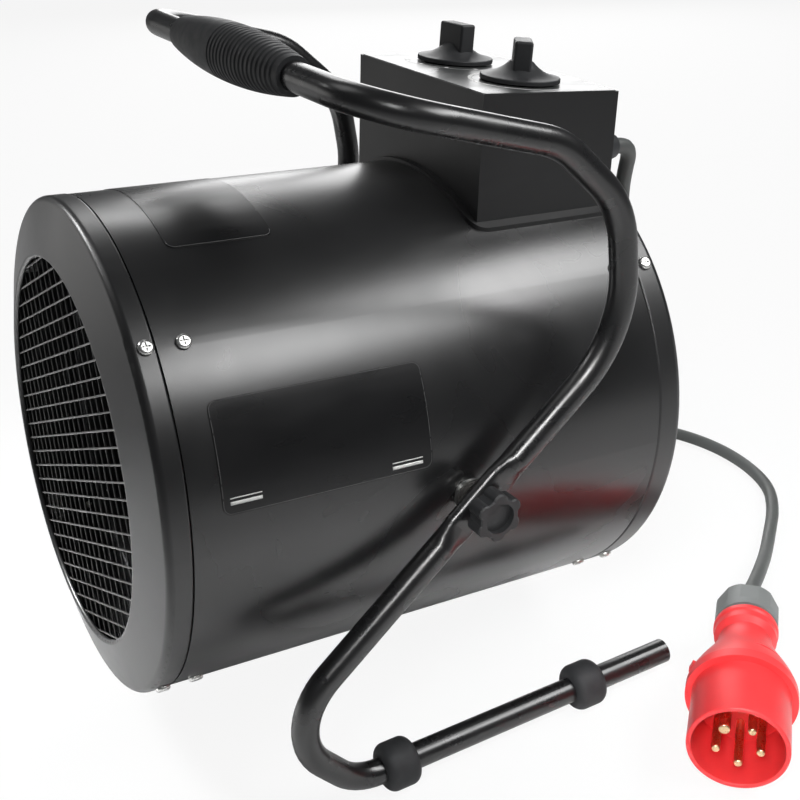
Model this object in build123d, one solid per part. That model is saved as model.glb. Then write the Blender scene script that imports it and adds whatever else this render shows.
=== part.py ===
from build123d import *
from math import asin, atan2, cos, degrees, pi, radians, sin, sqrt, tan
import os

# Forced air heater: a drum-shaped steel casing that tilts between the arms of a bent tube stand,
# with a control box on top, a fan and tubular elements inside, and a mains lead with a round plug.
#
# Two frames are used, both in mm.
#   Drum frame: origin on the tilt axis, +Y along the drum axis towards the inlet, +X right, +Z up.
#   Stand frame: the same X, with Z = 0 on the floor and Y = 0 under the tilt axis.

# ---------------------------------------------------------------- driving dimensions
sheet = 1.0                    # casing, end rings and duct
fit_gap = 0.15                 # between pieces that nest or pass through one another
seat_gap = 0.03                # between flat or round faces that rest on each other
running_gap = 0.06             # radial, between a turning piece and its pin

drum_radius = 149.0            # outside of the end rings
drum_length = 335.0            # corner of the front ring to corner of the rear ring
ring_step = 0.4                # the rings stand proud of the casing by this much
front_ring_depth = 14.0        # visible width of the front ring on the drum
rear_ring_depth = 17.0
ring_skirt = 20.0              # the part of a ring that slides inside the casing
ring_joggle = 1.4              # the shoulder between the ring's wall and its skirt
ring_corner = 4.0
ring_nose = 8.8                # how far the dished face stands beyond the corner
ring_nose_round = 1.6
opening_radius = 114.7
lip_depth = 3.0                # inward roll round the opening
pivot_from_front = 177.0
pivot_height = 184.0
rest_tilt = 3.9                # degrees, outlet up

mesh_wire = 1.2
mesh_row_pitch = 9.4
mesh_column_pitch = 12.5
mesh_turn = 25.0               # degrees that the wires are turned from level
mesh_rim_wire = 3.0
mesh_rim_radius = 121.5
mesh_clip_width = 12.0
mesh_clip_thickness = 1.5

screw_head_radius = 4.2
screw_head_height = 2.4
screw_radius = 2.0
screw_length = 8.0
screw_angles = (43.4, 133.4, 223.4, 313.4)
ring_screw_inset = 8.4         # from the ring's corner to its own screws
casing_screw_inset = 14.3      # from the ring's edge to the screws through the casing

duct_radius = 119.0
duct_front = 27.0              # from the front corner of the drum to the duct's flange
duct_length = 178.0
duct_flange_lip = 12.0

element_rod = 8.5
element_elbow = 9.6            # across the swaged elbows at an element's ends
element_radii = (38.0, 62.0, 86.0)
element_from_front = 62.0
element_leg_gap = 16.0
element_leg_length = 26.0
element_leg_proud = 6.0        # past the strap that carries the elements
element_strap_width = 46.0
element_strap_thickness = 2.0
element_strap_lug = 10.0
terminal_stud_radius = 2.0
terminal_stud_length = 12.0

motor_radius = 41.0
motor_length = 64.0
motor_from_front = 216.0
motor_shaft_radius = 4.0
motor_shaft_reach = 34.0
motor_boss_radius = 11.0
motor_boss_height = 4.0
motor_bracket_thickness = 2.0
motor_bracket_arm = 16.0
motor_bracket_foot = 24.0
motor_bolt_circle = 32.0
motor_bolt_radius = 2.0

fan_radius = 109.0
fan_hub_radius = 24.0
fan_hub_length = 18.0
fan_blades = 5
fan_blade_thickness = 1.6
fan_blade_chord = 62.0
fan_blade_pitch = 28.0         # degrees from the plane of the fan
fan_gap_to_motor = 8.0

box_half_width = 74.0
box_from_front = 224.5
box_depth = 97.0
box_height_front = 205.8       # above the drum axis
box_height_rear = 201.4
box_sheet = 1.2
box_flange = 4.6
box_flange_thickness = 2.2
box_flange_corner = 11.0
wire_slot_width = 90.0
wire_slot_depth = 46.0
dial_plate_thickness = 0.4
dial_plate_margin = 0.8

knob_spacing = 74.0
knob_from_box_front = 50.0
knob_radius = 24.5
knob_rim = 2.6
knob_cone_height = 8.5
knob_crown_radius = 7.0
knob_cone_sag = 1.9            # hollow of the cone's slope, below a straight one
knob_height = 23.5
knob_bar_width = 11.0
knob_bar_length = 24.0
knob_lift = 1.0                # running gap between a knob and the dial plate
selector_rest = -85.0          # degrees that each knob stands turned at rest
thermostat_rest = 58.0
spindle_radius = 3.0
spindle_flat = 0.6
spindle_bush_radius = 4.8
spindle_bush_nut = 7.5
switch_size = (40.0, 44.0, 26.0)
thermostat_size = (36.0, 34.0, 20.0)
control_body_drop = 3.0
bulb_radius = 3.0
bulb_length = 70.0
capillary_radius = 0.9

terminal_block_size = (60.0, 22.0, 18.0)
terminal_ways = 5
cutout_radius = 12.0
cutout_height = 8.0

gland_x = 56.0
gland_height = 163.0           # above the drum axis
gland_radius = 11.0
gland_body_length = 5.0
gland_dome_length = 10.0
gland_nut_thickness = 5.0

label_thickness = 0.3
side_label_length = 124.0
side_label_from_front = 31.3
side_label_angles = (7.8, 31.0)
top_label_length = 61.0
top_label_from_front = 39.0
top_label_spread = 24.0        # degrees each side of the crest
label_corner = 5.0

tube_radius = 8.0
tube_wall = 1.5
arm_reach = 163.0              # from the middle plane to an arm's centreline
shoulder_reach = 166.0
bar_reach = 161.0
bar_back = -56.2
bar_rise = 228.0               # above the tilt axis, as are the two that follow
bar_bend = 44.0
shoulder_y = 47.6
shoulder_rise = 196.4
shoulder_bend = 50.0
elbow_y = 89.4
elbow_rise = 156.2
elbow_bend = 60.4
run_angle = 39.1               # the straight run through the pivot, degrees above the floor
run_up = 126.4                 # pivot to the upper corner of the run
heel_height = 75.7             # lower corner of the run, above the floor
upper_run_bend = 73.2
lower_run_bend = 44.0
toe_setback = 49.9             # from the lower corner of the run back to the toe's corner
toe_bend = 34.0
leg_reach = 156.6              # the legs stand a little inside the arms
leg_end = 151.0
pressed_width = 20.0
pressed_thickness = 9.0
pressed_half_length = 18.0
pressed_taper = 14.0

grip_half_length = 77.0
grip_end_radius = 10.5
grip_middle_radius = 16.5
grip_ribs = 17
grip_rib_depth = 0.7
grip_smooth_end = 3.0
grip_smooth_far_end = 72.8

foot_radius = 15.0
foot_length = 22.0
foot_round = 6.0
foot_flat = 0.3
foot_from_toe = 28.2           # from the toe's corner to the middle of a front foot
foot_from_end = 66.8           # from a leg's end to the middle of its rear foot

pivot_bolt_radius = 4.0
pivot_plate_size = 46.0
pivot_plate_thickness = 2.0
pivot_bolt_head = 13.0         # across the flats
pivot_bolt_head_height = 5.3
pivot_bush_radius = 7.0
pivot_washer_radius = 10.0
pivot_washer_thickness = 2.0
friction_washer_radius = 9.0
friction_washer_thickness = 3.6
knob_boss_radius = 7.5
knob_boss_length = 5.0
star_core_radius = 12.2
star_lobe_radius = 4.6
star_lobe_circle = 10.2        # the lobes' centres lie on it
star_lobes = 6
star_thickness = 11.5
star_recess_radius = 9.0
star_recess_depth = 3.5
star_cap = 3.0                 # left closed over the bolt's end

cord_radius = 5.0
plug_axis_height = 34.4
plug_heading = -45.9           # degrees in plan, the way the pins point
plug_back = (169.4, 213.3)
plug_nut_length = 24.0
plug_nut_radius = 20.5
plug_seal_length = 3.0
plug_collar_radius = 20.0
plug_collar_length = 14.0
plug_collar_bead = 0.9         # the raised rim at the collar's outer end
plug_waist_radius = 17.0
plug_flange_radius = 34.0
plug_flare_end = 92.0
plug_flange_length = 7.0
plug_shroud_radius = 29.9
plug_shroud_wall = 3.0
plug_length = 143.5
plug_cavity_depth = 40.0
plug_pin_circle = 13.5
plug_pin_radius = 2.6
plug_earth_radius = 3.5
plug_pin_setback = 2.5
plug_earth_angle = 130.5
plug_pins = 5
plug_pin_root = 6.0
plug_latch_angle = 62.0        # round the plug's axis, from its own +X
plug_latch_slot = (12.0, 24.0, 2.6)
plug_nub_angle = 160.0

# The lead's route from the gland to the plug, in the stand frame.
cord_route = [
    (54.4, 183.6, 331.1), (51.2, 187, 325.1), (47.4, 188.2, 316.1), (43, 189.8, 302),
    (38.5, 193.6, 278.5), (33, 199, 248.5), (26, 206.5, 213.5), (15, 213, 174.5), (1, 221, 133.5),
    (-16, 230, 92.5), (-37.6, 241.7, 53.8), (-63.6, 255.9, 24.5), (-95, 275.4, 7.9),
    (-122.8, 301.3, 5.3), (-131.8, 332.2, 5.3), (-115.8, 361.1, 5.3), (-84.9, 380, 5.3),
    (-48, 390, 5.3), (-9.1, 389, 5.3), (26.8, 378.1, 5.3), (54.7, 355.1, 5.3), (78.6, 327.2, 6),
    (101.5, 300.4, 9.9), (124.1, 272.8, 21.6), (147, 243, 31.8),
]
cord_exit_run = 7.5            # straight out of the gland
cord_plug_run = 14.0           # straight into the plug

# ---------------------------------------------------------------- sizes that follow from them
casing_radius = drum_radius - ring_step
casing_bore = casing_radius - sheet
front_corner = -pivot_from_front
rear_corner = drum_length - pivot_from_front
casing_front = front_corner + front_ring_depth + fit_gap
casing_rear = rear_corner - rear_ring_depth - fit_gap
skirt_radius = casing_bore - fit_gap
skirt_bore = skirt_radius - sheet
front_ring_screws_y = front_corner + ring_screw_inset
front_casing_screws_y = front_corner + front_ring_depth + casing_screw_inset
rear_ring_screws_y = rear_corner - ring_screw_inset
rear_casing_screws_y = rear_corner - rear_ring_depth - casing_screw_inset

box_front = box_from_front - pivot_from_front
box_rear = box_front + box_depth
box_top_slope = atan2(box_height_rear - box_height_front, box_depth)
knob_y = box_front + knob_from_box_front
leg_height = foot_radius - foot_flat
bar_height = pivot_height + bar_rise
run_down = (pivot_height - heel_height) / sin(radians(run_angle))
heel_y = -run_down * cos(radians(run_angle))
toe_y = heel_y + toe_setback
foot_places = (toe_y + foot_from_toe, leg_end - foot_from_end)

in_drum = Pos(0, 0, pivot_height) * Rot(X=-rest_tilt)


# ---------------------------------------------------------------- helpers
def radial(angle, y, radius):
    """A place on the drum whose +Z points away from the drum axis, angle measured from +X to +Z."""
    return Pos(0, y, 0) * Rot(Y=90 - angle) * Pos(0, 0, radius)


def turned(outline):
    """A solid of revolution about the drum axis, from a face drawn as (radius, y)."""
    return revolve(outline, Axis.Y, 360)


def pipe(outer, inner, y_start, y_end):
    """A plain cylinder shell about the drum axis."""
    face = Pos((outer + inner) / 2, (y_start + y_end) / 2) * Rectangle(outer - inner, y_end - y_start)
    return turned(face)


def cylinder_up(radius, height):
    """A cylinder that stands on its place."""
    return Cylinder(radius, height, align=(Align.CENTER, Align.CENTER, Align.MIN))


def box_up(width, depth, height):
    return Box(width, depth, height, align=(Align.CENTER, Align.CENTER, Align.MIN))


def hexagon_up(across_flats, height):
    return extrude(RegularPolygon(across_flats / sqrt(3), 6), height)


def top_point(x, y):
    """A point on the control box's sloping top."""
    return (x, y, box_height_front + (y - box_front) * tan(box_top_slope))


def on_top(x, y, lift=0.0):
    """A place on the sloping top, with +Z square to it."""
    return Pos(*top_point(x, y)) * Rot(X=degrees(box_top_slope)) * Pos(0, 0, lift)


def seat_depth(radius, half_width):
    """How far a flat face of that half width sits from the crest of a round wall it meets."""
    return radius - sqrt(radius**2 - half_width**2)


# ---------------------------------------------------------------- drum shell
def end_ring(depth, angles):
    """A pressed ring with its corner at y = 0, its dished face towards -Y and its skirt inside the casing."""
    mid_skirt = skirt_radius - sheet / 2
    mid_wall = drum_radius - sheet / 2
    mid_lip = opening_radius + sheet / 2
    path = FilletPolyline(
        (mid_skirt, depth + ring_skirt),
        (mid_skirt, depth - fit_gap),
        (mid_wall, depth - ring_joggle),
        (mid_wall, sheet / 2),
        (mid_lip, sheet / 2 - ring_nose),
        (mid_lip, lip_depth - ring_nose),
        radius=[sheet * 0.6, sheet * 0.6, ring_corner, ring_nose_round],
    )
    ring = turned(trace(path, sheet))
    for y in (ring_screw_inset, depth + casing_screw_inset):
        for angle in angles:
            ring -= radial(angle, y, drum_radius - 6) * Cylinder(screw_radius + fit_gap, 14)
    return ring


def casing():
    """The rolled drum between the rings, with its screw, pivot and wiring holes."""
    shell = pipe(casing_radius, casing_bore, casing_front, casing_rear)
    for y in (front_casing_screws_y, rear_casing_screws_y):
        for angle in screw_angles:
            shell -= radial(angle, y, casing_radius) * Cylinder(screw_radius + fit_gap, 8)
    for angle in (0, 180):
        shell -= radial(angle, 0, casing_radius) * Cylinder(pivot_bolt_radius + fit_gap, 8)
    slot_y = box_front + box_depth / 2
    shell -= Pos(0, slot_y, casing_radius) * Box(wire_slot_width, wire_slot_depth, 60)
    return shell


def pan_screw():
    """A pan-head screw with a cross recess: head above Z = 0, shank below."""
    head = cylinder_up(screw_head_radius, screw_head_height)
    head = fillet(head.edges().sort_by(Axis.Z)[-1], screw_head_height * 0.7)
    recess = Box(screw_head_radius * 1.1, 0.9, 2) + Box(0.9, screw_head_radius * 1.1, 2)
    head -= Pos(0, 0, screw_head_height) * recess
    return head + Cylinder(screw_radius, screw_length, align=(Align.CENTER, Align.CENTER, Align.MAX))


def ring_of_screws(y, wall_radius):
    lift = seat_gap
    return [radial(angle, y, wall_radius + lift) * pan_screw() for angle in screw_angles]


def mesh_seat_y(corner_y):
    """Where the mesh's rim wire lies against the inside of the dished face."""
    slope = ring_nose / (drum_radius - opening_radius - sheet)
    lean = sqrt(1 + slope**2)
    middle = corner_y + sheet / 2 - (drum_radius - sheet / 2 - mesh_rim_radius) * slope
    return middle + (sheet / 2 + seat_gap + mesh_rim_wire / 2) * lean


def wire_mesh(y):
    """Welded mesh inside a wire rim, flat across the drum at y and turned in its plane."""
    rim = turned(Pos(mesh_rim_radius, y) * Circle(mesh_rim_wire / 2))
    reach = mesh_rim_radius - mesh_rim_wire / 2 - seat_gap
    layer = mesh_wire / 2 + seat_gap / 2
    wires = [rim]
    for pitch, depth, lie in ((mesh_column_pitch, y + layer, 0), (mesh_row_pitch, y - layer, 90)):
        count = int(reach / pitch)
        for step in range(-count, count + 1):
            offset = step * pitch
            half = sqrt(reach**2 - offset**2) - seat_gap
            wires.append(Rot(Y=lie - mesh_turn) * Pos(offset, depth, 0) * Cylinder(mesh_wire / 2, 2 * half))
    return wires


def mesh_clips(y, corner_y, depth, towards):
    """Four bent clips that the ring's own screws hold, each pressing the mesh's rim into the ring."""
    thick = mesh_clip_thickness
    inside = drum_radius - sheet
    wall = inside - seat_gap - seat_depth(inside, mesh_clip_width / 2)
    leg_y = corner_y + towards * (ring_corner + thick / 2)
    tail_y = corner_y + towards * (depth - ring_joggle - sheet / 2)
    pad_y = y + towards * (mesh_rim_wire / 2 + seat_gap)
    drop = wall - mesh_rim_radius
    foot_length = abs(tail_y - leg_y) + thick / 2
    pad_length = abs(leg_y - pad_y)
    foot = Pos(0, tail_y - towards * foot_length / 2, -thick / 2) * Box(mesh_clip_width, foot_length, thick)
    leg = Pos(0, leg_y, -(drop + thick) / 2) * Box(mesh_clip_width, thick, drop + thick)
    pad = Pos(0, (leg_y + pad_y) / 2, -drop - thick / 2) * Box(mesh_clip_width, pad_length, thick)
    hole = Pos(0, corner_y + towards * ring_screw_inset, 0) * Cylinder(screw_radius + fit_gap, 20)
    clip = foot + leg + pad - hole
    return [radial(angle, 0, wall) * clip for angle in screw_angles]


# ---------------------------------------------------------------- heating
def inner_duct():
    """The heat shield round the elements, flanged to the casing at its front end."""
    y = front_corner + duct_front
    lip_radius = skirt_bore - seat_gap - sheet / 2
    path = FilletPolyline(
        (lip_radius, y - sheet / 2 - duct_flange_lip + 2),
        (lip_radius, y + duct_flange_lip / 2),
        (duct_radius - sheet / 2, y + duct_flange_lip / 2),
        (duct_radius - sheet / 2, y + duct_length),
        radius=[2.0, 2.0],
    )
    duct = turned(trace(path, sheet))
    for angle in screw_angles:
        duct -= radial(angle, front_casing_screws_y, drum_radius - 6) * Cylinder(screw_radius + fit_gap, 14)
    return duct


def element_plane_y():
    return front_corner + element_from_front


def strap_y():
    return element_plane_y() + element_leg_length - element_leg_proud


def heating_element(radius):
    """A round tubular element whose two ends turn back through the strap."""
    y = element_plane_y()
    half_gap = asin(element_leg_gap / 2 / radius)
    path_start = radius * cos(half_gap)
    arc = 360 - 2 * degrees(half_gap)
    hoop = Rot(Y=degrees(half_gap) - 90) * revolve(Pos(radius, y) * Circle(element_rod / 2), Axis.Y, arc)
    legs = []
    for side in (-1, 1):
        elbow = Pos(side * element_leg_gap / 2, y, path_start) * Sphere(element_elbow / 2)
        leg = Pos(side * element_leg_gap / 2, y, path_start) * Rot(X=-90) * cylinder_up(
            element_rod / 2, element_leg_length
        )
        stud = Pos(side * element_leg_gap / 2, y + element_leg_length, path_start) * Rot(X=-90)
        legs += [elbow, leg, stud * cylinder_up(terminal_stud_radius, terminal_stud_length)]
    element = hoop
    for piece in legs:
        element = element + piece
    return element


def element_strap():
    """The cross strap inside the duct that carries all the elements."""
    y = strap_y()
    reach = duct_radius - sheet - seat_gap - seat_depth(duct_radius - sheet, element_strap_width / 2)
    strap = Pos(0, y, 0) * Box(element_strap_width, element_strap_thickness, 2 * reach)
    for side in (-1, 1):
        lug_z = side * (reach - element_strap_thickness / 2)
        lug_y = y + element_strap_lug / 2 - element_strap_thickness / 2
        strap += Pos(0, lug_y, lug_z) * Box(element_strap_width, element_strap_lug, element_strap_thickness)
    for radius in element_radii:
        z = radius * cos(asin(element_leg_gap / 2 / radius))
        for side in (-1, 1):
            hole = Rot(X=90) * Cylinder(element_rod / 2 + seat_gap, 3 * element_strap_thickness)
            strap -= Pos(side * element_leg_gap / 2, y, z) * hole
    return strap


# ---------------------------------------------------------------- fan and motor
def motor_front_y():
    return front_corner + motor_from_front


def fan_middle_y():
    return motor_front_y() - motor_boss_height - fan_gap_to_motor - fan_hub_length / 2


def motor_bracket_y():
    return motor_front_y() + motor_length + seat_gap


def fan_motor():
    """The motor's can with its front boss, bored for the shaft."""
    along = Pos(0, motor_front_y(), 0) * Rot(X=-90)
    can = cylinder_up(motor_radius, motor_length)
    can = fillet(can.edges().filter_by(GeomType.CIRCLE), 4)
    boss = Pos(0, 0, -motor_boss_height) * cylinder_up(motor_boss_radius, motor_boss_height + 1)
    bore = Pos(0, 0, -motor_boss_height - 1) * cylinder_up(
        motor_shaft_radius + running_gap, motor_length / 2 + motor_boss_height
    )
    return along * (can + boss - bore)


def motor_shaft():
    start = motor_front_y() - motor_shaft_reach
    length = motor_shaft_reach + motor_length / 2 - motor_boss_height - 4
    return Pos(0, start, 0) * Rot(X=-90) * cylinder_up(motor_shaft_radius, length)


def fan_wheel():
    """The hub and its pitched blades."""
    hub = Rot(X=90) * Cylinder(fan_hub_radius, fan_hub_length)
    hub = fillet(hub.edges().filter_by(GeomType.CIRCLE), 2)
    wheel = hub
    for index in range(fan_blades):
        sweep_out = Plane.XZ * Polygon(
            (-fan_blade_chord * 0.26, fan_hub_radius - 4),
            (fan_blade_chord * 0.26, fan_hub_radius - 4),
            (fan_blade_chord * 0.62, fan_radius * 0.93),
            (fan_blade_chord * 0.16, fan_radius * 1.08),
            (-fan_blade_chord * 0.46, fan_radius * 0.98),
            align=None,
        )
        blade = extrude(sweep_out, fan_blade_thickness / 2, both=True)
        wheel += Rot(Y=360 / fan_blades * index) * Rot(Z=fan_blade_pitch) * blade
    wheel &= Rot(X=90) * Cylinder(fan_radius, 90)
    wheel -= Rot(X=90) * Cylinder(motor_shaft_radius + fit_gap, 90)
    return Pos(0, fan_middle_y(), 0) * wheel


def motor_bracket():
    """A cross of four arms behind the motor, with feet on the rear ring's skirt."""
    y = motor_bracket_y()
    wall = skirt_bore - seat_gap - seat_depth(skirt_bore, motor_bracket_arm / 2)
    plate = Pos(0, y + motor_bracket_thickness / 2, 0) * Rot(X=90) * Cylinder(motor_radius, motor_bracket_thickness)
    for angle in screw_angles:
        arm = Pos(0, motor_bracket_thickness / 2, -(wall / 2)) * Box(
            motor_bracket_arm, motor_bracket_thickness, wall
        )
        foot_y = motor_bracket_foot / 2
        foot = Pos(0, foot_y, -motor_bracket_thickness / 2) * Box(
            motor_bracket_arm, motor_bracket_foot, motor_bracket_thickness
        )
        hole = Pos(0, rear_casing_screws_y - y, 0) * Cylinder(screw_radius + fit_gap, 20)
        plate += radial(angle, y, wall) * (arm + foot - hole)
    for angle in screw_angles:
        plate -= radial(angle, y, motor_bolt_circle) * Rot(X=90) * Cylinder(motor_bolt_radius + fit_gap, 20)
    plate -= Pos(0, y, 0) * Rot(X=90) * Cylinder(motor_boss_radius, 20)
    return plate


def motor_bolts():
    """Bolts whose hexagon heads sit on the bracket."""
    y = motor_bracket_y() + motor_bracket_thickness + seat_gap
    bolt = hexagon_up(7, 3) + Cylinder(
        motor_bolt_radius, motor_bracket_thickness + seat_gap * 2, align=(Align.CENTER, Align.CENTER, Align.MAX)
    )
    return [radial(angle, y, motor_bolt_circle) * Rot(X=-90) * bolt for angle in screw_angles]


# ---------------------------------------------------------------- control box
def box_outline(grow, corner=0.0):
    """The box's plan, grown outwards, as a face at Z = 0."""
    face = Pos(0, box_front + box_depth / 2) * Rectangle(2 * (box_half_width + grow), box_depth + 2 * grow)
    return fillet(face.vertices(), corner) if corner else face


def under_top(grow, below):
    """The space of the box's plan under its sloping top, down into the drum."""
    block = extrude(box_outline(grow), box_height_front + 40)
    lid = Pos(*top_point(0, box_front)) * Rot(X=degrees(box_top_slope)) * Pos(0, 0, -below) * box_up(600, 600, 100)
    return block - lid


def control_box():
    """The folded cover: four walls and a sloping top, with a flange that lies on the drum."""
    seat = casing_radius + seat_gap
    cover = under_top(0, 0) - under_top(-box_sheet, box_sheet)
    flange = extrude(box_outline(box_flange, box_flange_corner), box_height_front)
    flange -= extrude(box_outline(-box_sheet), box_height_front)
    flange &= pipe(seat + box_flange_thickness, seat, box_front - 20, box_rear + 20)
    cover = cover - Rot(X=90) * Cylinder(seat, 600)
    cover = cover + flange
    cover -= pipe(drum_radius + seat_gap, casing_radius - 40, casing_rear, rear_corner + 20)
    for side in (-1, 1):
        cover -= on_top(side * knob_spacing / 2, knob_y) * Cylinder(spindle_bush_radius + fit_gap, 10)
    cover -= Pos(gland_x, box_rear, gland_height) * Rot(X=90) * Cylinder(gland_radius * 0.72 + fit_gap, 10)
    return cover


def dial_plate():
    """The thin plate on the sloping top that carries the dial rings."""
    depth = box_depth / cos(box_top_slope) - 2 * dial_plate_margin
    width = 2 * (box_half_width - dial_plate_margin)
    plate = extrude(fillet(Rectangle(width, depth).vertices(), 2), dial_plate_thickness)
    plate = on_top(0, box_front + box_depth / 2, seat_gap) * plate
    for side in (-1, 1):
        plate -= on_top(side * knob_spacing / 2, knob_y) * Cylinder(spindle_bush_radius + fit_gap, 10)
    return plate


def control_knob():
    """A hollow-coned disc with a tall finger bar, bored for a flatted spindle, just above the dial plate."""
    crown = Vector(knob_crown_radius, knob_rim + knob_cone_height)
    rim = Vector(knob_radius, knob_rim)
    hollow = (crown + rim) / 2 - (crown - rim).normalized().rotate(Axis.Z, -90) * knob_cone_sag
    outline = make_face(
        [
            Polyline((0, crown.Y), (0, 0), (knob_radius, 0), rim),
            ThreePointArc(rim, hollow, crown),
            Line(crown, (0, crown.Y)),
        ]
    )
    disc = revolve(Plane.XZ * outline, Axis.Z, 360)
    disc = fillet(disc.edges().filter_by(GeomType.CIRCLE).group_by(Axis.Z)[1], 0.8)
    bar = box_up(knob_bar_width, knob_bar_length, knob_height)
    bar = fillet(bar.edges().filter_by(Axis.Z) + bar.faces().sort_by(Axis.Z)[-1].edges(), 1.6)
    knob = disc + bar
    bore_height = knob_rim + knob_cone_height
    bore = cylinder_up(spindle_radius + fit_gap, bore_height)
    bore -= Pos(spindle_radius + fit_gap, 0, 0) * box_up(2 * spindle_flat, 20, bore_height)
    socket = cylinder_up(spindle_bush_nut + 1.5, knob_rim)
    return Pos(0, 0, knob_lift + dial_plate_thickness) * (knob - bore - socket)


def spindle(body_height):
    """The flatted spindle that a knob turns, from inside its control to inside the knob."""
    top = knob_lift + dial_plate_thickness + knob_rim + knob_cone_height - 1
    bottom = -(box_sheet + control_body_drop + body_height * 0.5)
    rod = Pos(0, 0, bottom) * cylinder_up(spindle_radius, top - bottom)
    flat_from = knob_lift + dial_plate_thickness + knob_rim
    return rod - Pos(spindle_radius, 0, flat_from) * box_up(2 * spindle_flat, 20, 40)


def control_body(size):
    """A switch or thermostat body under the top, with its threaded bush and tabs."""
    width, depth, height = size
    top = -(box_sheet + seat_gap)
    body = Pos(0, 0, top - control_body_drop - height) * box_up(width, depth, height)
    body = fillet(body.edges().filter_by(Axis.Z), 2)
    body += Pos(0, 0, top - control_body_drop) * cylinder_up(spindle_bush_nut, control_body_drop)
    body += Pos(0, 0, top - 1) * cylinder_up(spindle_bush_radius, box_sheet + dial_plate_thickness + 3.2)
    for index in range(-2, 3):
        tab = Pos(index * width / 6, 0, top - control_body_drop - height - 7) * box_up(0.8, 6.3, 8)
        body += tab
    bore = Pos(0, 0, top - control_body_drop - height * 0.5 - 1) * cylinder_up(spindle_radius + running_gap, 80)
    return body - bore


def spindle_nut():
    """The hexagon nut that holds a control to the dial plate."""
    lift = dial_plate_thickness + 2 * seat_gap
    nut = Pos(0, 0, lift) * hexagon_up(2 * spindle_bush_nut * cos(pi / 6), 1.8)
    return nut - Cylinder(spindle_bush_radius + fit_gap, 20)


def place_controls(side, shape):
    return on_top(side * knob_spacing / 2, knob_y) * shape


def thermostat_probe():
    """The sensing bulb clipped outside the duct and its capillary up to the thermostat."""
    body_bottom = box_sheet + seat_gap + control_body_drop + thermostat_size[2]
    start = on_top(knob_spacing / 2, knob_y, -body_bottom).position
    bulb_z = duct_radius + bulb_radius + 0.3
    bulb_front = front_corner + duct_front + duct_length - bulb_length - 22
    bulb = Pos(0, bulb_front, bulb_z) * Rot(X=-90) * cylinder_up(bulb_radius, bulb_length)
    x_run = start.X - thermostat_size[0] * 0.3
    y_run = start.Y - thermostat_size[1] * 0.3
    route = FilletPolyline(
        (x_run, y_run, start.Z - 0.05),
        (x_run, y_run, casing_radius - 14),
        (0, y_run - 6, bulb_z),
        (0, bulb_front + bulb_length - 1, bulb_z),
        radius=6,
    )
    start_edge = Plane(origin=route @ 0, z_dir=route % 0)
    tube = sweep(start_edge * Circle(capillary_radius), path=route)
    return bulb + tube


def cable_gland():
    """The lead's gland on the rear wall: hexagon body outside and a ribbed dome nut."""
    body = hexagon_up(2 * gland_radius * cos(pi / 6), gland_body_length)
    dome = Pos(0, 0, gland_body_length) * Cone(
        gland_radius * 0.92, cord_radius + 2.2, gland_dome_length, align=(Align.CENTER, Align.CENTER, Align.MIN)
    )
    dome = fillet(dome.edges().filter_by(GeomType.CIRCLE).sort_by(Axis.Z)[-1], 1.2)
    thread = Pos(0, 0, -gland_nut_thickness - box_sheet - 2) * cylinder_up(
        gland_radius * 0.72, gland_nut_thickness + box_sheet + 2
    )
    bore = Pos(0, 0, -20) * cylinder_up(cord_radius + fit_gap, 20 + gland_body_length)
    return gland_place() * Pos(0, 0, seat_gap) * (body + dome + thread - bore)


def gland_place():
    return Pos(gland_x, box_rear, gland_height) * Rot(X=-90)


def gland_locknut():
    nut = hexagon_up(2 * gland_radius * cos(pi / 6) - 1, gland_nut_thickness)
    nut -= Cylinder(gland_radius * 0.72 + fit_gap, 20)
    return gland_place() * Pos(0, 0, -box_sheet - gland_nut_thickness - 2 * seat_gap) * nut


def terminal_block():
    """A five-way block on the drum's crest, inside the box, beside the wiring slot."""
    width, depth, height = terminal_block_size
    z = casing_radius + 0.3
    y = box_front + box_sheet + depth / 2 + 1
    block = box_up(width, depth, height)
    pitch = width / terminal_ways
    for way in range(terminal_ways):
        x = (way - (terminal_ways - 1) / 2) * pitch
        block -= Pos(x, 0, height - 8) * box_up(pitch * 0.55, depth * 0.5, 20)
        for side in (-1, 1):
            block -= Pos(x, side * depth / 2, height * 0.45) * Rot(X=90) * Cylinder(2, 8)
    return Pos(0, y, z) * block


def thermal_cutout():
    """The reset-type limit thermostat on the outside of the duct, below the wiring slot."""
    y = front_corner + duct_front + duct_length - cutout_radius - 4
    flat = duct_radius + seat_gap
    body = cylinder_up(cutout_radius, cutout_height) + Pos(0, 0, cutout_height) * cylinder_up(5, 3)
    for side in (-1, 1):
        body += Pos(0, side * 6, cutout_height) * box_up(6.3, 0.8, 7)
    ear = box_up(2 * cutout_radius + 12, 9, 1.2)
    return radial(70, y, flat) * (body + ear)


# ---------------------------------------------------------------- labels
def curved_label(y_start, length, angle_start, angle_end):
    """A thin plate on the casing between two angles, with rounded corners."""
    inner = casing_radius + seat_gap
    shell = pipe(inner + label_thickness, inner, y_start, y_start + length)
    middle = (angle_start + angle_end) / 2
    half_width = inner * sin(radians(angle_end - angle_start) / 2)
    window = fillet(Rectangle(2 * half_width, length).vertices(), label_corner)
    cutter = radial(middle, y_start + length / 2, inner * 0.6) * extrude(window, inner)
    return shell & cutter


# ---------------------------------------------------------------- stand
def run_point(distance):
    """A point on an arm's straight run, that far up it from the pivot, as (y, z)."""
    return (
        distance * cos(radians(run_angle)),
        pivot_height + distance * sin(radians(run_angle)),
    )


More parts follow.
